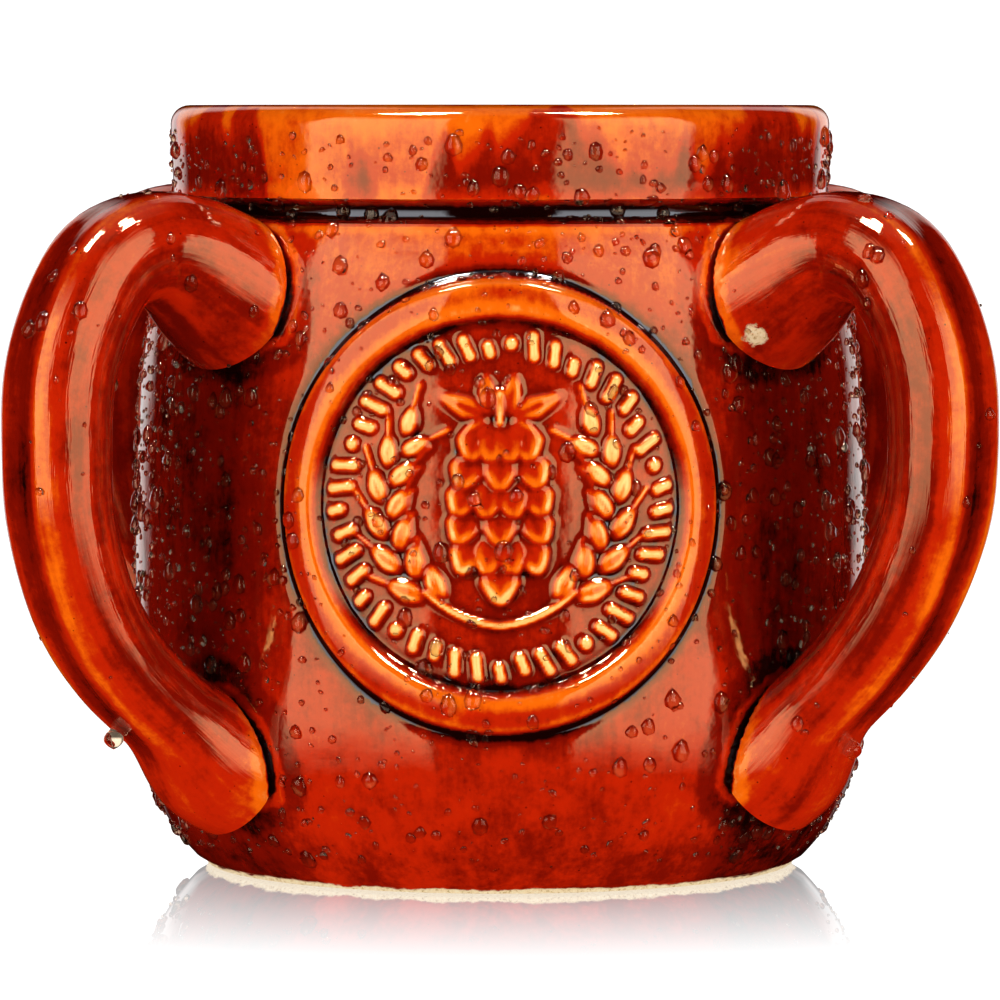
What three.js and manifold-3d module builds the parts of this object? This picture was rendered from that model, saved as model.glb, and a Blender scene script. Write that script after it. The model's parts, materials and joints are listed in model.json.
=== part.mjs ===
// Stoneware beer mug with four handles and a round relief medallion on its front.
// It is one fired piece: the thrown body, the four pulled handles and the sprigged medallion are luted
// together and glazed as one. Millimetres, +Z up. The medallion faces -Y, and the origin is the middle
// of the foot, on the surface that the mug stands on.
import * as THREE from "three";
import { mergeVertices } from "three/addons/utils/BufferGeometryUtils.js";
import Module from "manifold-3d";

// Body, turned on the wheel
const height = 129;
const footRadius = 50.3;
const bellyRadius = 62.3;
const bellyHeight = 38;
const neckRadius = 55.2;
const rimRadius = 56;
const rimBandHeight = 15.2;
const rimBandTaper = 0.5;
const grooveWidth = 4;
const grooveDepth = 2.6;
const wall = 6;
const floorThickness = 8;
const lipOuterRound = 3.2;
const lipInnerRound = 2.2;
const footRingWidth = 9;
const footRecess = 1.5;
const footEdge = 0.7;
const innerCornerRound = 11;
const bodySides = 48;

// Handles, each a thick pulled strap with a groove down its outer face, pressed on at both ends
const handleAzimuth = 49;
const handleReach = 103.5;
const handleUpperThickness = 19.4;
const handleLowerThickness = 15.6;
const handleWidth = 18.6;
const handleGrooveDepth = 0.9;
const handleGrooveWidth = 5;
const upperJointHeight = 96.6;
const upperJointWidth = 28;
const upperJointTall = 26;
const upperFlareLength = 24;
const lowerJointHeight = 20;
const lowerJointWidth = 25;
const lowerJointTall = 24;
const lowerFlareLength = 19;
const jointBite = 3;
const leftFrontDroop = 2.8;
const leftBackDroop = 1.2;
const droopTop = 0.62;
const handleSides = 12;
const handleSteps = 17;

// Medallion, a disc of clay with a raised ring, wrapped on the front
const medallionHeight = 64.5;
const medallionRadius = 37.2;
const medallionRingWidth = 7.4;
const medallionRingProud = 2.5;
const medallionFieldProud = 0.4;
const medallionStraightness = 0.5;
const medallionDepth = 3.4;
const medallionSides = 36;

// Relief on the medallion: a band of strokes round a hop cone between two ears of barley
const reliefProud = 1.3;
const strokeBandOuter = 28.6;
const strokeBandWidth = 4.6;
const strokeWidth = 1.8;
const strokeGroups = 5;
const strokesPerGroup = 4;
const strokeLean = 14;
const earRadius = 18.4;
const kernelPairs = 6;
const kernelLength = 6.6;
const kernelWidth = 3.7;
const earStemWidth = 1.4;
const earStemPiece = 4.6;
const hopHeight = 27;
const hopWidth = 18;
const hopRows = 5;
const hopStemWidth = 1.6;
const hopStemLength = 5;
const leafLength = 11;
const leafSetIn = 0.8;
const domeSides = 6;

const wasm = await Module();
wasm.setup();

// A closed three.js geometry as a solid.
function solid(geometry) {
  const g = geometry.clone();
  g.deleteAttribute("normal");
  g.deleteAttribute("uv");
  const merged = mergeVertices(g, 1e-3);
  return new wasm.Manifold(
    new wasm.Mesh({
      numProp: 3,
      vertProperties: merged.attributes.position.array,
      triVerts: new Uint32Array(merged.index.array),
    })
  );
}

// A solid as a three.js geometry.
function geometryOf(manifold) {
  const mesh = manifold.getMesh();
  const positions = new Float32Array(mesh.numVert * 3);
  for (let i = 0; i < mesh.numVert; i++) {
    for (let k = 0; k < 3; k++) {
      positions[3 * i + k] = mesh.vertProperties[i * mesh.numProp + k];
    }
  }
  const geometry = new THREE.BufferGeometry();
  geometry.setAttribute("position", new THREE.BufferAttribute(positions, 3));
  geometry.setIndex(new THREE.BufferAttribute(mesh.triVerts, 1));
  geometry.computeVertexNormals();
  return geometry;
}

// Every vertex of a geometry goes to where the function sends it.
function mapped(geometry, place) {
  const g = geometry.clone();
  const position = g.getAttribute("position");
  const point = new THREE.Vector3();
  for (let i = 0; i < position.count; i++) {
    point.fromBufferAttribute(position, i);
    const moved = place(point);
    position.setXYZ(i, moved.x, moved.y, moved.z);
  }
  return g;
}

// The body's outer radius at a height below the neck's groove.
const neckHeight = height - rimBandHeight - grooveWidth;
const footSwell = 3.45;
const shoulderFall = 4.2;

function bodyRadius(z) {
  if (z < bellyHeight) {
    const t = Math.max(z, 0) / bellyHeight;
    return footRadius + (bellyRadius - footRadius) * (1 - (1 - t) ** footSwell);
  }
  const s = Math.min((z - bellyHeight) / (neckHeight - bellyHeight), 1);
  return bellyRadius - (bellyRadius - neckRadius) * s ** shoulderFall;
}

function arc(centreX, centreY, radius, fromDegrees, toDegrees, steps) {
  const points = [];
  for (let i = 0; i <= steps; i++) {
    const a = THREE.MathUtils.degToRad(fromDegrees + ((toDegrees - fromDegrees) * i) / steps);
    points.push(new THREE.Vector2(centreX + radius * Math.cos(a), centreY + radius * Math.sin(a)));
  }
  return points;
}

// The turned section runs from the middle of the underside, up the outside and down the inside.
function bodyProfile() {
  const profile = [];
  const add = (radius, z) => profile.push(new THREE.Vector2(radius, z));
  add(0, footRecess);
  add(footRadius - footRingWidth - footRecess, footRecess);
  add(footRadius - footRingWidth, 0);
  add(footRadius - footEdge, 0);
  for (const share of [0.018, 0.1, 0.2, 0.34, 0.58, 1]) {
    add(bodyRadius(share * bellyHeight), share * bellyHeight);
  }
  for (const share of [0.42, 0.64, 0.78, 0.9, 1]) {
    const z = bellyHeight + share * (neckHeight - bellyHeight);
    add(bodyRadius(z), z);
  }
  add(neckRadius - grooveDepth, neckHeight + grooveWidth * 0.45);
  add(neckRadius - grooveDepth * 0.8, neckHeight + grooveWidth * 0.75);
  add(rimRadius - rimBandTaper, neckHeight + grooveWidth);
  profile.push(...arc(rimRadius - lipOuterRound, height - lipOuterRound, lipOuterRound, 0, 90, 3));
  profile.push(...arc(rimRadius - wall + lipInnerRound, height - lipInnerRound, lipInnerRound, 90, 180, 2));
  const cornerHeight = floorThickness + innerCornerRound;
  for (const share of [1, 0.84, 0.5]) {
    const z = cornerHeight + share * (neckHeight - cornerHeight);
    add(bodyRadius(z) - wall, z);
  }
  const cornerCentre = bodyRadius(cornerHeight) - wall - innerCornerRound;
  profile.push(...arc(cornerCentre, cornerHeight, innerCornerRound, 0, -90, 3));
  add(0, floorThickness);
  return profile;
}

// A lathe turns round Y, and the mug stands along Z.
function body() {
  return solid(new THREE.LatheGeometry(bodyProfile(), bodySides).rotateX(Math.PI / 2));
}

// What lies within the middle of the wall. A handle ends there, so none of it stands in the hollow.
function wallCore() {
  const profile = [new THREE.Vector2(0, 4)];
  for (const z of [4, 14, 26, bellyHeight, 64, 88, neckHeight, height]) {
    profile.push(new THREE.Vector2(bodyRadius(z) - wall / 2, z));
  }
  profile.push(new THREE.Vector2(0, height));
  return solid(new THREE.LatheGeometry(profile, bodySides).rotateX(Math.PI / 2));
}

// A handle lies in a plane through the mug's axis. Its centreline is in shares of its span, from the
// wall (0) to its outermost stretch (1), and of its rise, from the lower joint (0) to the upper one (1).
const centrelineShares = [
  [0, 1],
  [0.125, 1.04],
  [0.32, 1.098],
  [0.5, 1.125],
  [0.72, 1.093],
  [0.877, 0.995],
  [0.983, 0.855],
  [1, 0.69],
  [0.965, 0.558],
  [0.795, 0.378],
  [0.575, 0.247],
  [0.31, 0.132],
  [0.12, 0.035],
  [0, 0],
];

// A handle's lower half hangs out from the even bow by its droop, as each was bent by hand.
function handleCentreline(droop) {
  const outermost = handleReach - (handleUpperThickness + handleLowerThickness) / 4;
  const innermost = (joint) => bodyRadius(joint) - jointBite;
  const points = centrelineShares.map(([out, up]) => {
    const start = innermost(up > 0.6 ? upperJointHeight : lowerJointHeight);
    const z = THREE.MathUtils.lerp(lowerJointHeight, upperJointHeight, up);
    const hang = up < droopTop ? droop * Math.sin(Math.PI * (up / droopTop) ** 0.8) : 0;
    return new THREE.Vector3(THREE.MathUtils.lerp(start, outermost, out) + 0.75 * hang, 0, z - 0.66 * hang);
  });
  return new THREE.CatmullRomCurve3(points, false, "centripetal");
}

function handle(azimuthDegrees, core, droop = 0) {
  const curve = handleCentreline(droop);
  const length = curve.getLength();
  const turned = THREE.MathUtils.degToRad(azimuthDegrees);
  const outward = new THREE.Vector3(Math.sin(turned), -Math.cos(turned), 0);
  const sideways = new THREE.Vector3(Math.cos(turned), Math.sin(turned), 0);
  const flare = (distance, reach) => 1 - THREE.MathUtils.smoothstep(distance, 0, reach);
  const rod = new THREE.CylinderGeometry(1, 1, 1, handleSides, handleSteps);
  const place = (v) => {
    const along = THREE.MathUtils.clamp(0.5 - v.y, 0, 1);
    const centre = curve.getPointAt(along);
    const tangent = curve.getTangentAt(along);
    const outerNormal = new THREE.Vector3(-tangent.z, 0, tangent.x);
    const top = flare(along * length, upperFlareLength);
    const bottom = flare((1 - along) * length, lowerFlareLength);
    const plain = 1 - top - bottom;
    const width = handleWidth * plain + upperJointWidth * top + lowerJointWidth * bottom;
    const strap = THREE.MathUtils.lerp(handleUpperThickness, handleLowerThickness, along);
    const thickness = strap * plain + upperJointTall * top + lowerJointTall * bottom;
    const across = (v.x * width) / 2;
    const groove = Math.max(0, 1 - Math.abs(2 * across) / handleGrooveWidth) * Math.max(0, v.z);
    const through = (v.z * thickness) / 2 - groove * handleGrooveDepth * plain;
    return new THREE.Vector3()
      .addScaledVector(outward, centre.x + outerNormal.x * through)
      .addScaledVector(sideways, across)
      .setZ(centre.z + outerNormal.z * through);
  };
  return solid(mapped(rod, place)).subtract(core);
}

// The medallion's own frame: u to the right, v up, both from its middle, and h out from its surface.
// The disc is a little straighter than the body behind it, so it stands prouder under the shoulder.
function wrapped(geometry) {
  return mapped(geometry, (p) => {
    const z = medallionHeight + p.y;
    const base = THREE.MathUtils.lerp(bodyRadius(z), bellyRadius, medallionStraightness);
    const turn = p.x / bellyRadius;
    const radius = base + p.z;
    return new THREE.Vector3(radius * Math.sin(turn), -radius * Math.cos(turn), z);
  });
}

function medallionDisc() {
  const ringInner = medallionRadius - medallionRingWidth;
  const profile = [
    [0, -medallionDepth],
    [medallionRadius * 0.5, -medallionDepth],
    [medallionRadius, -medallionDepth],
    [medallionRadius, 0],
    [medallionRadius - 0.22 * medallionRingWidth, 0.62 * medallionRingProud],
    [medallionRadius - 0.56 * medallionRingWidth, 0.94 * medallionRingProud],
    [medallionRadius - 0.72 * medallionRingWidth, medallionRingProud],
    [ringInner + 0.1 * medallionRingWidth, 0.5 * medallionRingProud],
    [ringInner, medallionFieldProud],
    [ringInner * 0.68, medallionFieldProud],
    [ringInner * 0.34, medallionFieldProud],
    [0, medallionFieldProud],
  ].map(([radius, h]) => new THREE.Vector2(radius, h));
  return solid(wrapped(new THREE.LatheGeometry(profile, medallionSides).rotateX(Math.PI / 2)));
}

// A low oval dome standing on the field.
function dome(u, v, width, length, turnDegrees, proud = reliefProud) {
  const shape = new THREE.SphereGeometry(1, domeSides, 4).rotateX(Math.PI / 2);
  shape.scale(width / 2, length / 2, proud);
  shape.rotateZ(THREE.MathUtils.degToRad(turnDegrees));
  shape.translate(u, v, medallionFieldProud);
  return solid(wrapped(shape));
}

// A bar standing on the field.
function bar(u, v, width, length, turnDegrees, proud = reliefProud) {
  const shape = new THREE.BoxGeometry(width, length, 2 * proud);
  shape.rotateZ(THREE.MathUtils.degToRad(turnDegrees));
  shape.translate(u, v, medallionFieldProud);
  return solid(wrapped(shape));
}

// Rows of strokes that aren't letters, in groups with a bead between, all round the band.
function strokeBand() {
  const pieces = [];
  const slots = strokesPerGroup + 1;
  const count = strokeGroups * slots;
  const middle = strokeBandOuter - strokeBandWidth / 2;
  for (let i = 0; i < count; i++) {
    const degrees = 90 + (360 * (i + 0.5)) / count;
    const a = THREE.MathUtils.degToRad(degrees);
    if (i % slots === strokesPerGroup) {
      pieces.push(dome(middle * Math.cos(a), middle * Math.sin(a), 1.4 * strokeWidth, 1.4 * strokeWidth, 0));
      continue;
    }
    const share = 0.66 + 0.34 * Math.abs(Math.sin(2.3 * i));
    const r = middle - ((1 - share) * strokeBandWidth * Math.sign(Math.sin(1.1 * i))) / 2;
    const turn = degrees - 90 + strokeLean;
    pieces.push(bar(r * Math.cos(a), r * Math.sin(a), strokeWidth, strokeBandWidth * share, turn));
  }
  return pieces;
}

// An ear of barley that follows the band, kernels in pairs, on a stem from the bottom.
function barleyEar(side) {
  const pieces = [];
  const onArc = (degrees, radius) => {
    const a = THREE.MathUtils.degToRad(degrees);
    return [side * radius * Math.cos(a), radius * Math.sin(a)];
  };
  const start = -46;
  const step = 17;
  for (let i = 0; i < kernelPairs; i++) {
    const degrees = start + step * i;
    const size = 1 - 0.045 * i;
    for (const file of [-1, 1]) {
      const [u, v] = onArc(degrees + 4 * file, earRadius + file * 0.58 * kernelWidth * size);
      const lean = side * (degrees - file * 24);
      pieces.push(dome(u, v, kernelWidth * size, kernelLength * size, lean));
    }
  }
  for (let i = 0; i < 3; i++) {
    const degrees = start - 10 - 13 * i;
    const [u, v] = onArc(degrees, earRadius + 0.5 * i);
    pieces.push(bar(u, v, earStemWidth, earStemPiece, side * degrees, 0.8 * reliefProud));
  }
  return pieces;
}

// A hop cone of overlapping bracts, with a short stem and two leaves over it.
function hop() {
  const pieces = [dome(0, 0, 0.8 * hopWidth, 0.86 * hopHeight, 0)];
  const bractLength = (1.75 * hopHeight) / hopRows;
  for (let row = 0; row < hopRows; row++) {
    const share = (row + 0.5) / hopRows;
    const v = hopHeight * (share - 0.5);
    const fullness = Math.sin(Math.PI * (0.16 + 0.68 * share)) ** 0.8;
    const count = row % 2 === 0 ? 3 : 2;
    const across = row === 0 ? 1 : count;
    for (let k = 0; k < across; k++) {
      const offset = across === 1 ? 0 : (k / (across - 1) - 0.5) * (hopWidth - hopWidth / 2.6) * fullness;
      const scale = 1 - 0.25 * Math.abs(offset / hopWidth);
      const width = (hopWidth / 2.4) * scale;
      const proud = reliefProud * (1 + 0.5 * scale);
      pieces.push(dome(offset, v - 1.5, width, bractLength * scale, 3.4 * offset, proud));
    }
  }
  pieces.push(bar(0, hopHeight / 2 + 0.3 * hopStemLength, hopStemWidth, hopStemLength, 0));
  return pieces;
}

function leaf(side) {
  const outline = new THREE.Shape();
  outline.moveTo(0, -0.14 * leafLength);
  outline.quadraticCurveTo(0.3 * leafLength, -0.42 * leafLength, 0.62 * leafLength, -0.3 * leafLength);
  outline.quadraticCurveTo(0.52 * leafLength, -0.1 * leafLength, 0.46 * leafLength, -0.04 * leafLength);
  outline.quadraticCurveTo(0.8 * leafLength, -0.1 * leafLength, 1.08 * leafLength, 0.12 * leafLength);
  outline.quadraticCurveTo(0.8 * leafLength, 0.3 * leafLength, 0.46 * leafLength, 0.24 * leafLength);
  outline.quadraticCurveTo(0.48 * leafLength, 0.42 * leafLength, 0.36 * leafLength, 0.6 * leafLength);
  outline.quadraticCurveTo(0.06 * leafLength, 0.4 * leafLength, 0, 0.14 * leafLength);
  const options = { depth: reliefProud + leafSetIn, bevelEnabled: false, curveSegments: 2 };
  const shape = new THREE.ExtrudeGeometry(outline, options);
  shape.translate(hopStemWidth / 2, hopHeight / 2, -leafSetIn);
  if (side < 0) {
    shape.rotateY(Math.PI);
    shape.translate(0, 0, reliefProud - leafSetIn);
  }
  return solid(wrapped(shape));
}

const core = wallCore();
const pieces = [
  body(),
  handle(handleAzimuth, core),
  handle(180 - handleAzimuth, core),
  handle(180 + handleAzimuth, core, leftBackDroop),
  handle(360 - handleAzimuth, core, leftFrontDroop),
  medallionDisc(),
  ...strokeBand(),
  ...barleyEar(-1),
  ...barleyEar(1),
  ...hop(),
  leaf(-1),
  leaf(1),
];
// Specks of air shut in between overlapping bracts and kernels count as clay.
const joined = pieces.reduce((sum, piece) => sum.add(piece));
const [fired] = joined.decompose().sort((a, b) => b.volume() - a.volume());

const glaze = new THREE.MeshStandardMaterial({ color: 0xa8380e, roughness: 0.12, metalness: 0 });
const mug = new THREE.Mesh(geometryOf(fired), glaze);
mug.name = "mug";
const group = new THREE.Group();
group.add(mug);

export default group;
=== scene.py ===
import json
import math
import bpy
import numpy as np
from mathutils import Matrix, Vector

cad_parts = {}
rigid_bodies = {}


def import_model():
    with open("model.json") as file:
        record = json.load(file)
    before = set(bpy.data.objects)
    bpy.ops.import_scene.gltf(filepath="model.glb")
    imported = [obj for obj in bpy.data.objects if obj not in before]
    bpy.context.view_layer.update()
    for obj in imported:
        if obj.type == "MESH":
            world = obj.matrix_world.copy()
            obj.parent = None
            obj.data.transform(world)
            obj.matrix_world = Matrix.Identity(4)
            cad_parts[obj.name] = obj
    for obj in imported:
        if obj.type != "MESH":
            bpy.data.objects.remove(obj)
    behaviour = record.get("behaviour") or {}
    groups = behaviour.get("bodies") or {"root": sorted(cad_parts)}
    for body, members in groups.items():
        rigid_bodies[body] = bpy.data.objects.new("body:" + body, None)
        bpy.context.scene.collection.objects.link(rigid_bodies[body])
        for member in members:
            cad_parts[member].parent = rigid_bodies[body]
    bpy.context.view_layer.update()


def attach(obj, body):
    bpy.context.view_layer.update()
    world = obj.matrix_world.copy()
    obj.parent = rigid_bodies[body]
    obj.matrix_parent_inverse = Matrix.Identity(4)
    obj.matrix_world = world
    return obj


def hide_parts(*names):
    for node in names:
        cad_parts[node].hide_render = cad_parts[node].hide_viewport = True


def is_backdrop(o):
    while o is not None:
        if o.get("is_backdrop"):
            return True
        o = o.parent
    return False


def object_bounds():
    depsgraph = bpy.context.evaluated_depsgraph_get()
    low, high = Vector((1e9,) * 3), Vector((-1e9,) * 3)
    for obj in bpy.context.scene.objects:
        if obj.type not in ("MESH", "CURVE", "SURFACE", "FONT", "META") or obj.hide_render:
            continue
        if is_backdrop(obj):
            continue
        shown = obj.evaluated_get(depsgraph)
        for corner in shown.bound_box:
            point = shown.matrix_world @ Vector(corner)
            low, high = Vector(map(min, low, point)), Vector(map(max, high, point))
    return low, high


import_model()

# The thrown body
# Stoneware clay turned on the wheel: a squat bulging wall, a groove under an upright rim band, a rolled
# lip, a flat foot ring and a hollow inside. All sizes are in millimetres, as a potter takes them.
MM = 0.001
height = 129.0
foot_radius = 50.3
belly_radius = 62.3
belly_height = 38.0
neck_radius = 55.2
rim_radius = 56.0
rim_band_height = 15.2
rim_band_taper = 0.5
groove_width = 4.0
groove_depth = 2.6
wall = 6.0
floor_thickness = 8.0
lip_outer_round = 3.2
lip_inner_round = 2.2
foot_ring_width = 9.0
foot_recess = 1.5
foot_edge = 0.7
inner_corner_round = 11.0
foot_swell = 3.45
shoulder_fall = 4.2
neck_height = height - rim_band_height - groove_width


def body_radius(z):
    """The outer radius of the wall at a height, from the foot to the neck."""
    low = np.clip(z, 0.0, belly_height) / belly_height
    swelling = foot_radius + (belly_radius - foot_radius) * (1 - (1 - low) ** foot_swell)
    high = np.clip((z - belly_height) / (neck_height - belly_height), 0.0, 1.0)
    falling = belly_radius - (belly_radius - neck_radius) * high ** shoulder_fall
    return np.where(np.asarray(z) < belly_height, swelling, falling)


def arc(centre_r, centre_z, radius, from_degrees, to_degrees, steps=24):
    turn = np.radians(np.linspace(from_degrees, to_degrees, steps + 1))
    return np.column_stack([centre_r + radius * np.cos(turn), centre_z + radius * np.sin(turn)])


def wall_line(from_z, to_z, inward=0.0, steps=240):
    z = np.linspace(from_z, to_z, steps + 1)
    return np.column_stack([body_radius(z) - inward, z])


def resampled(line, count):
    """A line in the section as count even steps along its length."""
    gaps = np.hypot(*np.diff(line, axis=0).T)
    along = np.concatenate([[0.0], np.cumsum(gaps)])
    even = np.linspace(0.0, along[-1], count + 1)
    return np.column_stack([np.interp(even, along, line[:, k]) for k in range(2)])


# The section is cut in stretches. Each is a line, its number of wide rows, and how many fine steps of
# the eight in a wide row are kept together.
fine = 8
columns = 128
ring_in = foot_radius - foot_ring_width
corner_z = floor_thickness + inner_corner_round
corner_r = float(body_radius(corner_z)) - wall - inner_corner_round
groove_turn = np.linspace(0.0, math.pi, 41)
groove_line = np.column_stack([
    neck_radius + (rim_radius - rim_band_taper - neck_radius) * groove_turn / math.pi
    - groove_depth * np.sin(groove_turn) ** 0.7,
    neck_height + groove_width * (0.5 - 0.5 * np.cos(groove_turn)),
])
hub = 2.0
window_low, window_high = 24.0, 105.0
stretches = [
    (np.array([(hub, foot_recess), (ring_in - foot_recess, foot_recess)]), 3, 8),
    (arc(ring_in - foot_recess, 0.0, foot_recess, 90, 0), 1, 2),
    (np.array([(ring_in, 0.0), (foot_radius - foot_edge, 0.0)]), 1, 8),
    (arc(foot_radius - foot_edge, foot_edge, foot_edge, -90, 0, 8), 1, 2),
    (wall_line(foot_edge + 0.05, window_low), 9, 4),
    (wall_line(window_low, window_high), 27, 8),
    (wall_line(window_high, neck_height), 2, 2),
    (groove_line, 3, 2),
    (np.array([(rim_radius - rim_band_taper, neck_height + groove_width),
               (rim_radius, height - lip_outer_round)]), 4, 8),
    (arc(rim_radius - lip_outer_round, height - lip_outer_round, lip_outer_round, 0, 90), 2, 2),
    (arc(rim_radius - wall + lip_inner_round, height - lip_inner_round, lip_inner_round, 90, 180), 1, 2),
    (np.vstack([[(rim_radius - wall, height - lip_inner_round)],
                wall_line(neck_height, corner_z, wall)]), 14, 8),
    (arc(corner_r, corner_z, inner_corner_round, 0, -90), 3, 4),
    (np.array([(corner_r, floor_thickness), (hub, floor_thickness)]), 4, 8),
]
section = [stretches[0][0][:1]]
row_steps = []
for line, rows, step in stretches:
    section.append(resampled(line, rows * fine)[1:])
    row_steps += [step] * rows
section = np.vstack(section)
# The window's rows lie behind the medallion, and the outside ends at the top of the lip.
rows_reached = np.cumsum([rows for line, rows, step in stretches])
window_rows = range(rows_reached[4], rows_reached[5])
outside_rows = rows_reached[9]

# The relief medallion
# A disc of clay pressed in a plaster mould and sprigged on the front: a round frame, a band of
# strokes, and a hop cone with two leaves between two ears of barley.
medallion_height = 64.5
medallion_radius = 37.3
medallion_frame = 7.4
medallion_proud = 2.6
medallion_field = 0.4
medallion_straightness = 0.5
relief_proud = 1.35
stroke_band = 26.3
stroke_length = 5.4
stroke_radius = 1.1
stroke_lean = 14
stroke_groups = 5
strokes_in_group = 8
ear_radius = 18.4
kernel_pairs = 6
kernel_length = 6.6
kernel_width = 3.7
hop_height = 27.0
hop_width = 18.0
hop_rows = 6
leaf_length = 9.6


def smooth(x, low, high):
    t = np.clip((x - low) / (high - low), 0.0, 1.0)
    return t * t * (3 - 2 * t)


def turned(u, v, centre_u, centre_v, degrees):
    """Coordinates along and across a shape that lies at a place, turned from upright."""
    a = math.radians(degrees)
    du, dv = u - centre_u, v - centre_v
    return -du * math.sin(a) + dv * math.cos(a), du * math.cos(a) + dv * math.sin(a)


def bar(u, v, centre_u, centre_v, length, radius, degrees, proud):
    """A rounded stroke."""
    along, across = turned(u, v, centre_u, centre_v, degrees)
    off = np.hypot(np.maximum(np.abs(along) - (length / 2 - radius), 0.0), across)
    return proud * (1 - np.clip(off / radius, 0.0, 1.0) ** 2.2)


def oval(u, v, centre_u, centre_v, width, length, degrees, proud, point=0.5, vein=0.0):
    """A domed pointed oval, as a kernel or a leaf's lobe, with a vein pressed down its middle."""
    along, across = turned(u, v, centre_u, centre_v, degrees)
    along = along / (length / 2)
    across = across / (width / 2)
    off = np.hypot(along, across * (1 + point * np.clip(along, 0.0, 1.0)))
    inside = 1 - np.clip(off, 0.0, 1.0) ** 3
    return proud * inside - vein * np.exp(-(across * 5.0) ** 2) * smooth(inside, 0.0, 0.6)


def bract(u, v, centre_u, centre_v, width, length, degrees, proud):
    """One scale of the hop cone, standing out most at its tip, which hangs down."""
    along, across = turned(u, v, centre_u, centre_v, degrees)
    along = -along / (length / 2)
    across = across / (width / 2)
    off = np.hypot(along, across * (1 + 0.55 * np.clip(along, 0.0, 1.0)))
    inside = 1 - np.clip(off, 0.0, 1.0) ** 5
    lift = 0.5 + 0.5 * smooth(along, -0.9, 0.75)
    return proud * inside * lift - 0.12 * np.exp(-(across * 6.0) ** 2) * smooth(inside, 0.0, 0.6)


def ornament(u, v):
    """Height of the figures over the medallion's field."""
    top = np.zeros_like(u)
    slots = strokes_in_group + 1
    count = stroke_groups * slots
    for i in range(count):
        degrees = 90 + 360 * (i + 0.5) / count
        a = math.radians(degrees)
        if i % slots == strokes_in_group:
            place = stroke_band * math.cos(a), stroke_band * math.sin(a)
            top = np.maximum(top, bar(u, v, *place, 2.6, 1.25, 0, relief_proud))
            continue
        share = 0.62 + 0.38 * abs(math.sin(2.3 * i))
        r = stroke_band - (1 - share) * stroke_length * math.copysign(0.5, math.sin(1.1 * i))
        place = r * math.cos(a), r * math.sin(a)
        lean = degrees - 90 + stroke_lean
        top = np.maximum(top, bar(u, v, *place, stroke_length * share, stroke_radius, lean, relief_proud))
    for side in (-1, 1):
        for i in range(kernel_pairs):
            degrees = -46 + 17 * i
            size = 1 - 0.045 * i
            for file in (-1, 1):
                a = math.radians(degrees + 4 * file)
                r = ear_radius + file * 0.58 * kernel_width * size
                place = side * r * math.cos(a), r * math.sin(a)
                lean = side * (degrees - file * 24)
                kernel = oval(u, v, *place, kernel_width * size * 1.12, kernel_length * size * 1.1, lean,
                              relief_proud, 0.45, 0.22)
                tip = math.radians(90 + lean)
                reach = kernel_length * size * 0.85
                place = place[0] + reach * math.cos(tip), place[1] + reach * math.sin(tip)
                awn = bar(u, v, *place, 5.4 * size, 0.42, lean, 0.45 * relief_proud)
                top = np.maximum(top, np.maximum(kernel, awn))
        for i in range(9):
            a = math.radians(-52 - 4.6 * i)
            place = side * ear_radius * math.cos(a), (ear_radius + 0.12 * i) * math.sin(a)
            top = np.maximum(top, bar(u, v, *place, 3.0, 0.75, side * math.degrees(a), 0.8 * relief_proud))
        for spread, share in ((-58, 0.72), (0, 1.0), (56, 0.78)):
            direction = 24 + spread
            a = math.radians(direction)
            reach = 0.5 * leaf_length * share
            place = side * (1.2 + reach * math.cos(a)), 0.52 * hop_height + reach * math.sin(a)
            lean = side * (direction - 90)
            top = np.maximum(top, oval(u, v, *place, 0.46 * leaf_length, 1.1 * leaf_length * share, lean,
                                       0.8 * relief_proud, 0.6, 0.25))
    top = np.maximum(top, bar(u, v, 0, 0.5 * hop_height + 2.4, 6.5, 0.85, 0, relief_proud))
    bract_length = 1.8 * hop_height / hop_rows
    for row in range(hop_rows):
        share = (row + 0.5) / hop_rows
        middle = hop_height * (share - 0.5)
        fullness = math.sin(math.pi * (0.16 + 0.68 * share)) ** 0.8
        across = 1 if row == 0 else 3 if row % 2 == 0 else 4
        for k in range(across):
            offset = 0 if across == 1 else (k / (across - 1) - 0.5) * (hop_width - hop_width / 3) * fullness
            size = 1 - 0.3 * abs(offset / hop_width)
            top = np.maximum(top, bract(u, v, offset, middle - 1.2, hop_width / 2.5 * size,
                                        bract_length * size, 3.6 * offset, relief_proud * 1.25 * size))
    return top


def relief(u, v):
    """How far the medallion stands out from the thrown wall."""
    z = medallion_height + v
    off = np.hypot(u, v)
    lifted = medallion_straightness * (belly_radius - body_radius(z)) + medallion_field
    inward = (medallion_radius - off) / medallion_frame
    rise = smooth(inward, -0.02, 0.17)
    crown = 0.6 + 0.4 * np.sin(0.5 * math.pi * np.clip(inward / 0.7, 0.0, 1.0))
    fall = 1 - smooth(inward, 0.76, 1.02)
    frame_line = (medallion_proud - medallion_field) * rise * crown * fall
    moat = -0.28 * np.exp(-((off - medallion_radius - 0.9) / 0.8) ** 2)
    seat = -0.16 * np.exp(-((off - medallion_radius + medallion_frame + 0.5) / 0.6) ** 2)
    figures = ornament(u, v) * (off < medallion_radius - medallion_frame)
    return smooth(inward, -0.02, 0.12) * lifted + frame_line + moat + seat + figures


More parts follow.
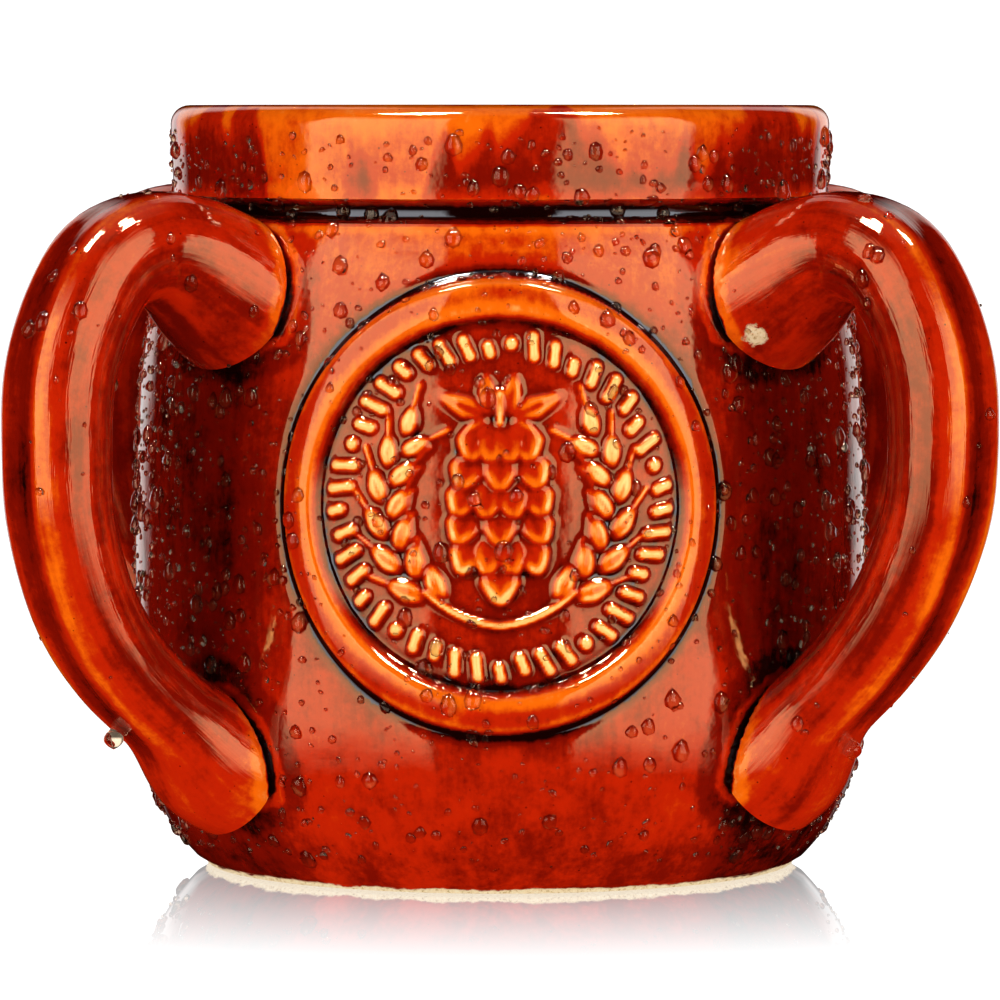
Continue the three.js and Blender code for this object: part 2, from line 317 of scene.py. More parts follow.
# The wall is one net of cells, wide all round and eight times finer under the medallion.
window_reach = 14
window_half_width = 41.5
net = np.zeros((len(row_steps) * fine + 1, columns * fine), bool)
cells = []
for i, row_step in enumerate(row_steps):
    for j in range(columns):
        in_window = i in window_rows and abs(j + 0.5 - columns / 2) < window_reach
        up, across = (1, 1) if in_window else (row_step, fine)
        for low in range(i * fine, (i + 1) * fine, up):
            for left in range(j * fine, (j + 1) * fine, across):
                cells.append((low, left, low + up, left + across))
around = columns * fine
for low, left, high, right in cells:
    net[low, left] = net[low, right % around] = net[high, left] = net[high, right % around] = True
number = (np.cumsum(net.ravel()) - 1).reshape(net.shape)
body_faces = []
for low, left, high, right in cells:
    edge = [(low, c) for c in range(left, right)] + [(r, right) for r in range(low, high)]
    edge += [(high, c) for c in range(right, left, -1)] + [(r, left) for r in range(high, low, -1)]
    body_faces.append([int(number[r, c % around]) for r, c in edge if net[r, c % around]])
body_faces.append([int(number[0, c]) for c in range(around - fine, -1, -fine)])
body_faces.append([int(number[-1, c]) for c in range(0, around, fine)])

net_rows, net_columns = np.nonzero(net)
azimuth = (net_columns / around - 0.5) * 2 * math.pi
net_radius = section[net_rows, 0].copy()
net_height = section[net_rows, 1]
on_wall = (net_rows >= window_rows[0] * fine) & (net_rows <= (window_rows[-1] + 1) * fine)
in_window = on_wall & (np.abs(azimuth * belly_radius) < window_half_width)
stands_out = np.zeros(len(net_rows))
stands_out[in_window] = relief(azimuth[in_window] * belly_radius,
                               net_height[in_window] - medallion_height)
net_radius += stands_out
body_points = np.column_stack([net_radius * np.sin(azimuth), -net_radius * np.cos(azimuth), net_height])


def blurred(values, spread):
    """A field of values evened out over a spread of cells, both ways."""
    reach = int(3 * spread) + 1
    weights = np.exp(-0.5 * (np.arange(-reach, reach + 1) / spread) ** 2)
    weights /= weights.sum()
    for axis in (0, 1):
        padded = np.pad(values, [(reach, reach) if k == axis else (0, 0) for k in (0, 1)], mode="edge")
        values = np.apply_along_axis(lambda line: np.convolve(line, weights, mode="valid"), axis, padded)
    return values


# Glaze runs off ridges and pools in hollows: how far a point stands above or below its surroundings.
first_row, last_row = window_rows[0] * fine, (window_rows[-1] + 1) * fine
first_column = (columns // 2 - window_reach) * fine
last_column = (columns // 2 + window_reach) * fine
patch = number[first_row:last_row + 1, first_column:last_column + 1]
lie = blurred(stands_out[patch], 0.8)
outward = np.stack([np.sin(azimuth[patch]), -np.cos(azimuth[patch]), 0 * azimuth[patch]], -1)
body_points[patch] += (lie - stands_out[patch])[..., None] * outward
sharp = lie - blurred(lie, 1.6)
broad = lie - blurred(lie, 7.0)
body_thin = np.zeros(len(body_points))
body_pooled_and_shade = np.zeros(len(body_points))
off_middle = np.hypot(azimuth[patch] * belly_radius, net_height[patch] - medallion_height)
frame_inner = medallion_radius - medallion_frame
figures = smooth(off_middle, frame_inner + 0.4, frame_inner - 0.4)
body_thin[patch] = (np.clip(sharp / 0.2, 0, 1) * (0.3 + 0.6 * figures)
                    + np.clip(broad / 1.2, 0, 1) * (0.12 + 0.4 * figures))
body_pooled_and_shade[patch] = np.clip(-sharp / 0.25, 0, 1) * 0.42 + np.clip(-broad / 0.9, 0, 1) * 0.3
crest = medallion_radius - 0.66 * medallion_frame
body_thin[patch] += 0.42 * np.exp(-((off_middle - crest) / 1.1) ** 2)
past_frame = off_middle - medallion_radius
body_pooled_and_shade[patch] += 0.45 * np.exp(-np.maximum(past_frame, 0) / 1.5) * (past_frame > 0)

outside = net_rows <= outside_rows * fine
band_low = neck_height + groove_width
body_pooled_and_shade += outside * np.exp(-((net_height - neck_height - 1.7) / 1.5) ** 2) * 1.1
body_pooled_and_shade += outside * 0.16 * smooth(net_height, band_low + 5.0, band_low) * (net_height > band_low - 0.1)
body_thin += outside * 0.75 * np.exp(-((net_height - band_low - 0.2) / 0.55) ** 2)
body_thin += outside * 0.35 * np.exp(-((net_height - neck_height + 0.8) / 0.9) ** 2)
body_thin += 0.24 * smooth(net_height, height - 6.5, height - 0.5)
body_pooled_and_shade += outside * 0.1 * smooth(net_height, 12.0, 3.0)
body_thin += outside * 0.3 * smooth(net_height, 88.0, 104.0) * (net_height < neck_height)
# Painted shade and painted dark reflection: below the shoulder, the wall more than about forty degrees from
# the front is darkened, between and under the handles.
painted_side_shade = smooth(np.abs(np.degrees(azimuth)), 31, 46) * smooth(net_height, 103.0, 84.0)
body_pooled_and_shade += outside * 0.4 * painted_side_shade

body_mesh = bpy.data.meshes.new("thrown_body")
body_mesh.from_pydata((body_points * MM).tolist(), [], body_faces)
body_mesh.update()

# The handles
# Four handles pulled from wet clay as round rods with a crease down the outer face, bent into a wide
# bow, and luted to the shoulder and to the foot of the wall, where each end spreads into a pad.
handle_azimuths = (49, 131, 229, 311)
handle_droops = (0.0, 0.0, 1.2, 2.8)
droop_top = 0.62
handle_reach = 103.5
handle_upper_thickness = 19.4
handle_lower_thickness = 15.6
handle_width = 18.6
crease_depth = 1.4
crease_width = 3.2
upper_joint_height = 96.6
upper_joint_size = (28.0, 26.0)
upper_flare = 24.0
lower_joint_height = 20.0
lower_joint_size = (25.0, 24.0)
lower_flare = 19.0
joint_bite = 3.0
pad_round = 1.7
handle_bow = [
    (0, 1), (0.125, 1.04), (0.32, 1.098), (0.5, 1.125), (0.72, 1.093), (0.877, 0.995), (0.983, 0.855),
    (1, 0.69), (0.965, 0.558), (0.795, 0.378), (0.575, 0.247), (0.31, 0.132), (0.12, 0.035), (0, 0),
]
rod_sides = 52
rod_steps = 118


def spline(points, steps=24):
    """A centripetal spline through the points."""
    points = np.asarray(points, float)
    full = np.vstack([2 * points[0] - points[1], points, 2 * points[-1] - points[-2]])
    path = [points[:1]]
    for a, b, c, d in zip(full, full[1:], full[2:], full[3:]):
        t1 = np.linalg.norm(b - a) ** 0.5
        t2 = t1 + np.linalg.norm(c - b) ** 0.5
        t3 = t2 + np.linalg.norm(d - c) ** 0.5
        t = np.linspace(t1, t2, steps + 1)[1:, None]
        ab = (t1 - t) / t1 * a + t / t1 * b
        bc = (t2 - t) / (t2 - t1) * b + (t - t1) / (t2 - t1) * c
        cd = (t3 - t) / (t3 - t2) * c + (t - t2) / (t3 - t2) * d
        abc = (t2 - t) / t2 * ab + t / t2 * bc
        bcd = (t3 - t) / (t3 - t1) * bc + (t - t1) / (t3 - t1) * cd
        path.append((t2 - t) / (t2 - t1) * abc + (t - t1) / (t2 - t1) * bcd)
    return np.vstack(path)


def ring_faces(sides, steps):
    """Faces of a tube of rings, closed at both ends."""
    faces = [[i * sides + k, i * sides + (k + 1) % sides,
              (i + 1) * sides + (k + 1) % sides, (i + 1) * sides + k]
             for i in range(steps) for k in range(sides)]
    return faces + [list(range(sides))[::-1], list(range(steps * sides, (steps + 1) * sides))]


rise = upper_joint_height - lower_joint_height
outermost = handle_reach - (handle_upper_thickness + handle_lower_thickness) / 4
handle_meshes = []
handle_points = []
handle_runs = []
handle_thins = []
handle_pools_and_shade = []
turn = np.linspace(0, 2 * math.pi, rod_sides, endpoint=False)
for azimuth_degrees, droop in zip(handle_azimuths, handle_droops):
    bow = []
    for out, up in handle_bow:
        joint_z = upper_joint_height if up > 0.6 else lower_joint_height
        start = float(body_radius(joint_z)) - joint_bite
        hang = droop * math.sin(math.pi * (up / droop_top) ** 0.8) if up < droop_top else 0
        bow.append((start + out * (outermost - start) + 0.75 * hang,
                    lower_joint_height + up * rise - 0.66 * hang))
    bow = spline(bow)
    reached = np.concatenate([[0.0], np.cumsum(np.hypot(*np.diff(bow, axis=0).T))])
    rod_length = reached[-1]
    share = np.linspace(0, 1, rod_steps + 1)
    along = (share - 0.78 * np.sin(2 * math.pi * share) / (2 * math.pi)) * rod_length
    centre, ahead, behind = (
        np.column_stack([np.interp(reach, reached, bow[:, k]) for k in (0, 1)])
        for reach in (along, np.minimum(along + 0.6, rod_length), np.maximum(along - 0.6, 0)))
    heading = (ahead - behind) / np.linalg.norm(ahead - behind, axis=1)[:, None]
    outer_side = np.column_stack([-heading[:, 1], heading[:, 0]])
    upper_spread = 1 - smooth(along, 0, upper_flare)
    lower_spread = 1 - smooth(rod_length - along, 0, lower_flare)
    thick = handle_upper_thickness + (handle_lower_thickness - handle_upper_thickness) * along / rod_length
    thick = thick + (upper_joint_size[1] - thick) * upper_spread
    thick = thick + (lower_joint_size[1] - thick) * lower_spread
    wide = handle_width + (upper_joint_size[0] - handle_width) * upper_spread
    wide = wide + (lower_joint_size[0] - wide) * lower_spread

    across = wide[:, None] / 2 * np.cos(turn)
    lift = thick[:, None] / 2 * np.sin(turn)
    ends_fade = (smooth(along, 10, 34) * smooth(rod_length - along, 6, 26))[:, None]
    creased = np.exp(-(across / crease_width) ** 2) * (np.sin(turn) > 0)
    lift = lift - crease_depth * ends_fade * creased
    rod_out = centre[:, :1] + lift * outer_side[:, :1]
    rod_up = centre[:, 1:] + lift * outer_side[:, 1:]
    # The pad's rim rounds in where it meets the wall.
    gap_to_wall = np.hypot(rod_out, across) - body_radius(rod_up)
    near_wall = np.clip(1 - gap_to_wall / pad_round, 0, 1)
    tuck = pad_round * (1 - np.sqrt(1 - near_wall ** 2))
    from_middle = np.stack([rod_out - centre[:, :1], rod_up - centre[:, 1:], across])
    shrink = 1 - tuck / np.maximum(np.linalg.norm(from_middle, axis=0), 1)
    rod_out = centre[:, :1] + from_middle[0] * shrink
    rod_up = centre[:, 1:] + from_middle[1] * shrink
    across = across * shrink

    a = math.radians(azimuth_degrees)
    points = np.stack([rod_out * math.sin(a) + across * math.cos(a),
                       -rod_out * math.cos(a) + across * math.sin(a), rod_up], -1).reshape(-1, 3)
    handle = bpy.data.meshes.new("pulled_handle")
    handle.from_pydata((points * MM).tolist(), [], ring_faces(rod_sides, rod_steps))
    handle.update()
    handle_meshes.append(handle)
    handle_points.append(points)
    zeros = 0 * across
    shoulder = np.exp(-((np.abs(across) - 4.6) / 1.3) ** 2) * (np.sin(turn) > 0) * ends_fade
    handle_thins.append((0.4 * shoulder + zeros).ravel())
    # Painted shade: the handle's sides and its inner face, which turns to the wall, are made darker. The
    # crease holds real pooled glaze.
    sides = smooth(np.abs(np.cos(turn)), 0.7, 0.95) * ends_fade
    shaded_inner_face = np.sin(turn) < -0.3
    handle_pools_and_shade.append((0.4 * ends_fade * creased + 0.14 * shaded_inner_face + 0.16 * sides + zeros).ravel())
    handle_runs.append(np.stack([9 * np.cos(turn) + zeros, 9 * np.sin(turn) + zeros,
                                 0.1 * along[:, None] + azimuth_degrees + zeros], -1).reshape(-1, 3))

# Luting and firing
# The handles are joined to the wall with slip, and the whole mug is dipped in glaze and fired as one
# piece. The glaze turns dark in the seam round each pad and amber on the pad's rim.
mug = bpy.data.objects.new("fired_mug", body_mesh)
bpy.context.collection.objects.link(mug)
slips = [bpy.data.materials.new("body_clay"), bpy.data.materials.new("handle_clay")]
for slip in slips:
    body_mesh.materials.append(slip)
# A handle is cut off at the middle of the wall, so none of it stands in the hollow.
core_low, core_high = 3.0, 126.0
core_sides = 96
core_rings = 41
core_heights = np.linspace(core_low, core_high, core_rings + 1)
core_radii = body_radius(core_heights) - 0.5 * wall
core_turn = [2 * math.pi * k / core_sides for k in range(core_sides)]
core_points = [(r * math.cos(a), r * math.sin(a), z)
               for r, z in zip(core_radii, core_heights) for a in core_turn]
core_faces = ring_faces(core_sides, core_rings)
core_mesh = bpy.data.meshes.new("wall_core")
core_mesh.from_pydata((np.array(core_points) * MM).tolist(), [], core_faces)
for slip in slips:
    core_mesh.materials.append(slip)
core = bpy.data.objects.new("wall_core", core_mesh)
bpy.context.collection.objects.link(core)
for handle in handle_meshes:
    for slip in slips:
        handle.materials.append(slip)
    handle.polygons.foreach_set("material_index", [1] * len(handle.polygons))
    pad = bpy.data.objects.new("pulled_handle", handle)
    bpy.context.collection.objects.link(pad)
    cut = pad.modifiers.new("cut", "BOOLEAN")
    cut.operation = "DIFFERENCE"
    cut.solver = "MANIFOLD"
    cut.object = core
    luting = mug.modifiers.new("luting", "BOOLEAN")
    luting.operation = "UNION"
    luting.solver = "MANIFOLD"
    luting.object = pad
bpy.context.view_layer.update()
fired = bpy.data.meshes.new_from_object(mug.evaluated_get(bpy.context.evaluated_depsgraph_get()))
fired.name = "fired_mug"
mug.modifiers.clear()
mug.data = fired
for pad in [o for o in bpy.data.objects if o.name.startswith(("pulled_handle", "wall_core"))]:
    bpy.data.objects.remove(pad)

from mathutils import kdtree


def nearest_of(points):
    tree = kdtree.KDTree(len(points))
    for i, point in enumerate(points):
        tree.insert(point, i)
    tree.balance()
    return tree


def looked_up(tree, points):
    found = [tree.find(point) for point in points]
    return np.array([f[1] for f in found]), np.array([f[2] for f in found])


fired_points = np.empty(len(fired.vertices) * 3)
fired.vertices.foreach_get("co", fired_points)
fired_points = fired_points.reshape(-1, 3) / MM
all_handles = np.vstack(handle_points)
body_near, body_gap = looked_up(nearest_of(body_points), fired_points)
handle_near, handle_gap = looked_up(nearest_of(all_handles), fired_points)
seam = (body_gap > 0.002) & (handle_gap > 0.002)
seam_tree = nearest_of(fired_points[seam])
seam_distance = looked_up(seam_tree, fired_points)[1]

corner_point = np.empty(len(fired.loops), int)
fired.loops.foreach_get("vertex_index", corner_point)
corner_counts = np.array([p.loop_total for p in fired.polygons])
face_part = np.empty(len(fired.polygons), int)
fired.polygons.foreach_get("material_index", face_part)
corner_part = np.repeat(face_part, corner_counts)
on_handle = corner_part == 1
rod_thin_all = np.concatenate(handle_thins)
rod_pooled_and_shade = np.concatenate(handle_pools_and_shade)
rod_run_all = np.vstack(handle_runs)
thin = np.where(on_handle, rod_thin_all[handle_near][corner_point], body_thin[body_near][corner_point])
pooled_and_shade = np.where(on_handle, rod_pooled_and_shade[handle_near][corner_point],
                  body_pooled_and_shade[body_near][corner_point])
wall_run = fired_points * (1.0, 1.0, 0.16)
run = np.where(on_handle[:, None], rod_run_all[handle_near][corner_point], wall_run[corner_point])
for name, values in (("thin", thin), ("pooled_and_shade", pooled_and_shade), ("seam", seam_distance[corner_point]),
                     ("handle", on_handle.astype(float))):
    layer = fired.attributes.new(name, "FLOAT", "CORNER")
    layer.data.foreach_set("value", values.astype(np.float32))
layer = fired.attributes.new("run", "FLOAT_VECTOR", "CORNER")
layer.data.foreach_set("vector", run.astype(np.float32).ravel())
fired.materials.clear()
fired.polygons.foreach_set("material_index", [0] * len(fired.polygons))
fired.shade_smooth()
fired.set_sharp_from_angle(angle=math.radians(42))

# Glaze
# A clear iron glaze over dark clay: near black where it pools, ox-blood red where it is even, orange
# where it thins, and amber on edges. It runs in streaks down the wall and along each handle.
pooled_brown = (0.014, 0.0012, 0.0006, 1)
thick_red = (0.24, 0.008, 0.001, 1)
even_red = (0.55, 0.024, 0.002, 1)
thin_orange = (0.92, 0.17, 0.005, 1)
edge_amber = (1.0, 0.62, 0.2, 1)
bare_clay = (0.86, 0.66, 0.4, 1)
clay_line = 0.75
bare_spot = (41.5, -49.8, 91.5)
bare_spot_width = 2.2
even_depth = 0.57

glaze = bpy.data.materials.new("iron_glaze")
glaze.use_nodes = True
tree = glaze.node_tree
coat_shader = tree.nodes["Principled BSDF"]


def step(kind, inputs=None, **settings):
    """A node of the tree in hand, its inputs from values or from other nodes' sockets."""
    made = tree.nodes.new(kind)
    for name, value in settings.items():
        setattr(made, name, value)
    for name, value in (inputs or {}).items():
        if isinstance(value, bpy.types.NodeSocket):
            tree.links.new(value, made.inputs[name])
        else:
            made.inputs[name].default_value = value
    return made


def add(kind, inputs=None, **settings):
    return step("ShaderNode" + kind, inputs, **settings)


def maths(operation, *values, clamp=False):
    return add("Math", dict(enumerate(values)), operation=operation, use_clamp=clamp).outputs[0]


def ranged(value, low, high, to_low=0.0, to_high=1.0, **settings):
    """A value read from one span into another, and held at its ends."""
    spans = {"Value": value, "From Min": low, "From Max": high, "To Min": to_low, "To Max": to_high}
    return add("MapRange", spans, **settings).outputs[0]


def noise(vector, scale, detail=2.0, rough=0.5):
    """Noise spread to fill nought to one."""
    raw = add("TexNoise", {"Vector": vector, "Scale": scale, "Detail": detail, "Roughness": rough})
    return ranged(raw.outputs["Fac"], 0.3, 0.7)


def swing(field, share):
    """A field that swings evenly about nought by a share."""
    return maths("MULTIPLY", maths("SUBTRACT", field, 0.5), share)


def curve_of(value, *stops):
    """A value read through stops of (where, how much)."""
    ramp = add("ValToRGB", {"Fac": value})
    ramp.color_ramp.interpolation = "EASE"
    elements = ramp.color_ramp.elements
    while len(elements) < len(stops):
        elements.new(0.5)
    for element, (position, much) in zip(elements, stops):
        element.position = position
        element.color = much if isinstance(much, tuple) else (much, much, much, 1)
    return ramp.outputs["Color"]


def attribute(name, output="Fac"):
    return add("Attribute", attribute_name=name).outputs[output]


place = add("TexCoord").outputs["Object"]
millimetres = add("VectorMath", {0: place, 1: (1000, 1000, 1000)}, operation="MULTIPLY").outputs[0]
x_mm, z_mm = [add("SeparateXYZ", {0: millimetres}).outputs[k] for k in "XZ"]
run_along = attribute("run", "Vector")
part = attribute("handle")

clouds = noise(millimetres, 0.055, 3, 0.55)
mottle = noise(millimetres, 0.17, 4, 0.62)
fine_mottle = noise(millimetres, 0.8, 4, 0.65)
streaks = noise(run_along, 0.22, 3, 0.6)
fine_streaks = noise(run_along, 0.75, 3, 0.6)
rim_streaks = noise(run_along, 0.1, 2, 0.5)
above_band = ranged(z_mm, 112.5, 115.0)

# Depth of the glaze: about one half is even, less is thin, and more is pooled. The pooled share also carries
# painted shade on the wall's sides and on the handles' sides and inner faces.
depth = even_depth
for field, share in ((clouds, 0.13), (mottle, 0.12), (fine_mottle, 0.08), (streaks, 0.07),
                     (fine_streaks, 0.06)):
    depth = maths("ADD", depth, swing(field, share))
depth = maths("ADD", depth, maths("MULTIPLY", swing(streaks, 0.16), part))
up_the_band = ranged(z_mm, 113.0, height)
reaches_down = maths("SUBTRACT", up_the_band, maths("MULTIPLY", rim_streaks, 1.25))
to_side = maths("DIVIDE", maths("ABSOLUTE", x_mm), rim_radius)
# Painted reflection: on its two sides, where the soft boxes mirror in it, the rim band is made more golden
# than its real runs from the lip make it.
painted_reflection_sides = curve_of(to_side, (0.17, 0), (0.25, 1), (0.62, 1), (0.74, 0))
reaches_down = maths("ADD", reaches_down, maths("MULTIPLY", maths("SUBTRACT", painted_reflection_sides, 0.4), 0.8))
golden = ranged(reaches_down, -0.25, 0.3, interpolation_type="SMOOTHSTEP")
rim_run = maths("MULTIPLY", maths("SUBTRACT", 0.36, golden), above_band)
depth = maths("ADD", depth, maths("MULTIPLY", rim_run, 0.3))
depth = maths("SUBTRACT", depth, maths("MULTIPLY", attribute("thin"), 0.48))
depth = maths("ADD", depth, maths("MULTIPLY", attribute("pooled_and_shade"), 0.5))

# The tones beside a seam run out over eight millimetres.
seam_far = maths("DIVIDE", attribute("seam"), 8.0)
wander = swing(noise(millimetres, 0.35, 2), 0.12)
seam_far = maths("ADD", seam_far, maths("MULTIPLY", wander, curve_of(seam_far, (0, 0), (0.3, 1.0))))
at_handle = curve_of(seam_far, (0.0, 1.0), (0.09, 1.0), (0.17, 0.16), (0.3, 0.22), (0.55, 0.46), (1.0, 0.54))
at_wall = curve_of(seam_far, (0.0, 1.0), (0.13, 1.0), (0.22, 0.5), (0.3, 0.44), (0.45, 0.72), (0.75, 0.68),
                   (1.0, 0.55))
seam_tone = add("Mix", {"Factor": part, 2: at_wall, 3: at_handle}).outputs[0]
depth = maths("ADD", depth, maths("MULTIPLY", maths("SUBTRACT", seam_tone, 0.5), 0.85))
colour = curve_of(depth, (0.04, edge_amber), (0.3, thin_orange), (0.55, even_red), (0.76, thick_red),
                  (0.98, pooled_brown))

# Iron specks in the clay show through.
grains = add("TexVoronoi", {"Vector": millimetres, "Scale": 0.55})
speck = maths("LESS_THAN", grains.outputs["Distance"], maths("MULTIPLY", noise(millimetres, 0.6, 1), 0.1))
colour = add("Mix", {"Factor": maths("MULTIPLY", speck, 0.75), 6: colour, 7: pooled_brown},
             data_type="RGBA").outputs[2]

# The foot is wiped clean of glaze, and one spot on a handle's pad stayed dry.
foot_wave = maths("ADD", swing(noise(millimetres, 0.13, 3), 0.6), swing(fine_mottle, 0.35))
clean = ranged(maths("SUBTRACT", clay_line, maths("ADD", z_mm, foot_wave)), -0.12, 0.12)
to_spot = add("VectorMath", {0: millimetres, 1: bare_spot}, operation="DISTANCE").outputs["Value"]
to_spot = maths("ADD", to_spot, maths("MULTIPLY", fine_mottle, 1.2))
dry = ranged(to_spot, bare_spot_width + 0.5, bare_spot_width)
bare = maths("MAXIMUM", clean, dry)
grit = noise(millimetres, 1.6, 5, 0.7)
clay = curve_of(grit, (0.1, (0.5, 0.32, 0.14, 1)), (0.4, bare_clay), (0.9, (0.92, 0.78, 0.54, 1)))
colour = add("Mix", {"Factor": bare, 6: colour, 7: clay}, data_type="RGBA").outputs[2]

tree.links.new(colour, coat_shader.inputs["Base Color"])
roughness = ranged(bare, 0.0, 1.0, 0.04, 0.75)
roughness = maths("ADD", roughness, maths("MULTIPLY", fine_mottle, 0.03))
tree.links.new(roughness, coat_shader.inputs["Roughness"])
coat_shader.inputs["IOR"].default_value = 1.56
tint = curve_of(depth, (0.86, (1.0, 0.75, 0.4, 1)), (1.0, (0.86, 0.92, 1.0, 1)))
tree.links.new(tint, coat_shader.inputs["Specular Tint"])

wave = maths("MULTIPLY", noise(millimetres, 0.07, 1), 0.16)
ripple = maths("MULTIPLY", noise(millimetres, 0.42, 2), 0.012)
striae = maths("MULTIPLY", maths("MULTIPLY", noise(run_along, 1.3, 2), 0.03), part)
height_field = maths("ADD", maths("ADD", wave, ripple), striae)
height_field = maths("ADD", height_field, maths("MULTIPLY", maths("MULTIPLY", grit, 0.12), bare))
height_field = maths("SUBTRACT", height_field, maths("MULTIPLY", bare, 0.15))
bump = add("Bump", {"Height": height_field, "Strength": 1.0, "Distance": 0.001})
tree.links.new(bump.outputs["Normal"], coat_shader.inputs["Normal"])
fired.materials.append(glaze)
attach(mug, "root")
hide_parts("mug")

# The dew
# The cold wall draws drops of water out of the air onto the glaze: close and fine on the sides, fewer
# and fuller on the front and the rim, hardly any on the handles.
dews = {
    "fine_dew": {"Drops a square metre": 120000.0, "Least apart": 0.0011, "Smallest": 0.0005,
                 "Largest": 0.0017, "Longest": 1.05, "Sides": 6, "Rings": 4, "Seed": 3},
    "full_dew": {"Drops a square metre": 88000.0, "Least apart": 0.0014, "Smallest": 0.0006,
                 "Largest": 0.0032, "Longest": 1.3, "Sides": 8, "Rings": 5, "Seed": 8},
}
sag = 0.28
flatness = 0.62
unevenness = 0.0011
dew_low, dew_high = 5, 125
front_angle = 34
front_reach = 36

water = bpy.data.materials.new("water")
water.use_nodes = True
tree = water.node_tree
drop_shader = tree.nodes["Principled BSDF"]
drop_shader.inputs["Roughness"].default_value = 0.03
drop_shader.inputs["IOR"].default_value = 1.33
drop_shader.inputs["Transmission Weight"].default_value = 1.0
drop_shader.inputs["Specular Tint"].default_value = (1.0, 0.8, 0.6, 1)
drop_shader.inputs["Specular IOR Level"].default_value = 0.2
# Painted light and shade: a drop's colour is bright at its foot, where a real drop gathers the light, and
# dark at its top and rim.
inside_drop = add("SeparateXYZ", {0: attribute("in_drop", "Vector")}).outputs
squares = [maths("POWER", inside_drop[k], 2.0) for k in "XY"]
from_axis = maths("SQRT", maths("ADD", *squares))
painted_dark_rim = ranged(from_axis, 0.5, 0.3, 0.1, 1.0)
painted_foot_light = ranged(inside_drop["Y"], -0.4, 0.25, 0.4, 1.0)
painted_drop_light = maths("MULTIPLY", painted_dark_rim, painted_foot_light)
painted_drop_colour = curve_of(painted_drop_light, (0.0, (0.22, 0.06, 0.03, 1)), (1.0, (1.0, 0.82, 0.6, 1)))
tree.links.new(painted_drop_colour, drop_shader.inputs["Base Color"])
clear = add("BsdfTransparent", {"Color": (1, 1, 1, 1)})
in_shadow = add("LightPath").outputs["Is Shadow Ray"]
let_through = add("MixShader", {"Fac": in_shadow, 1: drop_shader.outputs[0], 2: clear.outputs[0]})
tree.links.new(let_through.outputs[0], tree.nodes["Material Output"].inputs["Surface"])

spin = np.degrees(np.arctan2(fired_points[:, 0], -fired_points[:, 1]))
from_front = np.abs(spin)
is_handle = handle_gap < body_gap
fired_height = fired_points[:, 2]
on_outside = outside[body_near] & ~is_handle & (fired_height > dew_low) & (fired_height < dew_high)
on_medallion = (from_front < front_angle) & (np.abs(fired_height - medallion_height) < front_reach)
clear_of_seams = smooth(seam_distance, 1.0, 3.0)
fine_share = np.where(on_outside, 0.5 + 0.5 * smooth(from_front, front_angle, 56), 0.0)
fine_share = np.where(on_outside & on_medallion, 0.3, fine_share) + 0.015 * is_handle
full_share = np.where(on_outside, 0.9, 0.0) * np.where(on_medallion, 0.6, 1.0) + 0.1 * is_handle
full_share = full_share * np.where(fired_height < 30, 0.5, 1.0)
for name, share_there in (("fine_dew", fine_share), ("full_dew", full_share)):
    layer = fired.attributes.new(name, "FLOAT", "POINT")
    layer.data.foreach_set("value", (share_there * clear_of_seams).astype(np.float32))

tree = bpy.data.node_groups.new("dew", "GeometryNodeTree")
dew_sockets = {}
for name, kind in (("Geometry", "Geometry"), ("Where", "String"), ("Drops a square metre", "Float"),
                   ("Least apart", "Float"), ("Smallest", "Float"), ("Largest", "Float"),
                   ("Longest", "Float"), ("Sides", "Int"), ("Rings", "Int"), ("Seed", "Int"),
                   ("Water", "Material")):
    socket = tree.interface.new_socket(name, in_out="INPUT", socket_type="NodeSocket" + kind)
    dew_sockets[name] = socket.identifier
tree.interface.new_socket("Geometry", in_out="OUTPUT", socket_type="NodeSocketGeometry")

given = step("NodeGroupInput").outputs
crowding = step("GeometryNodeInputNamedAttribute", {"Name": given["Where"]}, data_type="FLOAT")
scatter = step("GeometryNodeDistributePointsOnFaces",
               {"Mesh": given["Geometry"], "Distance Min": given["Least apart"],
                "Density Max": given["Drops a square metre"],
                "Density Factor": crowding.outputs["Attribute"], "Seed": given["Seed"]},
               distribute_method="POISSON")
ball = step("GeometryNodeMeshUVSphere", {"Segments": given["Sides"], "Rings": given["Rings"], "Radius": 0.5})
spot = add("SeparateXYZ", {0: step("GeometryNodeInputPosition").outputs[0]}).outputs
heavy = maths("MULTIPLY_ADD", spot["Y"], sag, 1.0)
sag_x = maths("MULTIPLY", spot["X"], heavy)
sag_z = maths("MULTIPLY", maths("MULTIPLY", maths("MAXIMUM", spot["Z"], -0.1), heavy), flatness)
sagged = add("CombineXYZ", {0: sag_x, 1: spot["Y"], 2: sag_z}).outputs[0]
ball = step("GeometryNodeStoreNamedAttribute",
            {"Geometry": ball.outputs["Mesh"], "Name": "in_drop",
             "Value": step("GeometryNodeInputPosition").outputs[0]},
            data_type="FLOAT_VECTOR", domain="POINT")
drop = step("GeometryNodeSetPosition", {"Geometry": ball.outputs["Geometry"], "Position": sagged}).outputs[0]
stood = step("FunctionNodeAlignRotationToVector", {"Vector": scatter.outputs["Normal"]}, axis="Z").outputs[0]
hung = step("FunctionNodeAlignRotationToVector", {"Rotation": stood, "Vector": (0, 0, -1)},
            axis="Y", pivot_axis="Z").outputs[0]
chance = step("FunctionNodeRandomValue", {"Seed": given["Seed"]}, data_type="FLOAT").outputs[1]
